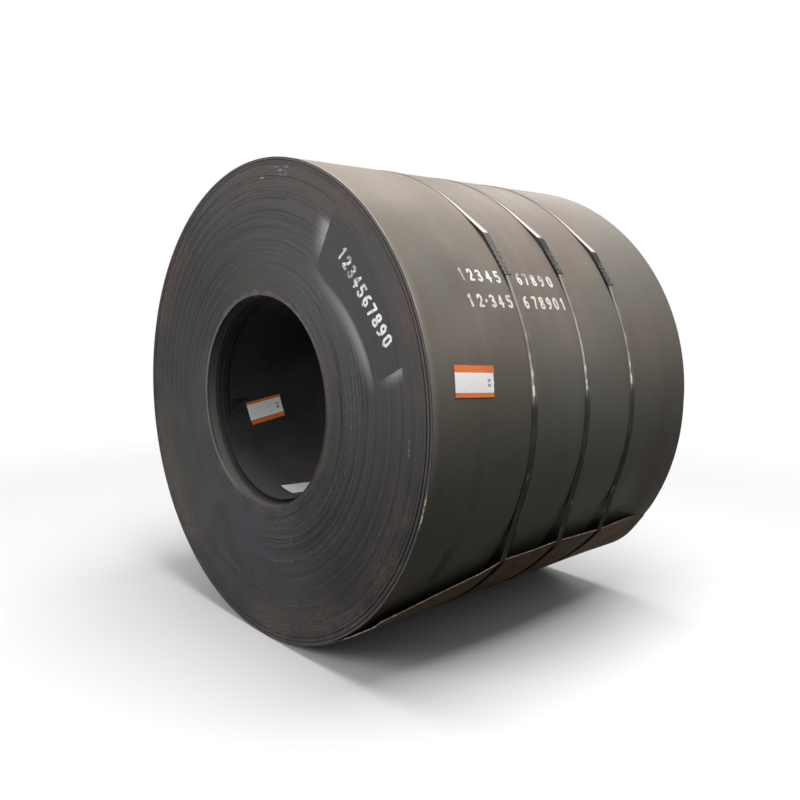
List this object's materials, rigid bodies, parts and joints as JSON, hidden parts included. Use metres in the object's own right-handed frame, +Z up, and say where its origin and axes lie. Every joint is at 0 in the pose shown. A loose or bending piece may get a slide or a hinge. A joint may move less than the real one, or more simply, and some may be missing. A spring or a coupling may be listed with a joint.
{
  "type": "steel coil",
  "caption": "Coil of hot-rolled steel strip lying on its side, with steel belly straps, crimped seals, paper labels and a sprung tail end.",
  "frame": {"origin": "on the floor, under the middle of the coil", "axes": "+Z up, +Y along the coil's axis from the marked end to the plain end, +X to the side where the strip's tail springs off"},
  "size_m": [1.8256, 1.5046, 1.8284],
  "materials": {
    "hot_rolled_steel": "satin",
    "strap_steel": "satin",
    "seal_steel": "matte",
    "label_paper": "matte"
  },
  "bodies": {
    "root": {"coil": "hot_rolled_steel", "strap_1": "strap_steel", "strap_2": "strap_steel", "strap_3": "strap_steel", "seal_1": "seal_steel", "seal_2": "seal_steel", "seal_3": "seal_steel", "label_outer": "label_paper", "label_bore": "label_paper", "sheet_in_bore": "label_paper"}
  },
  "joints": []
}
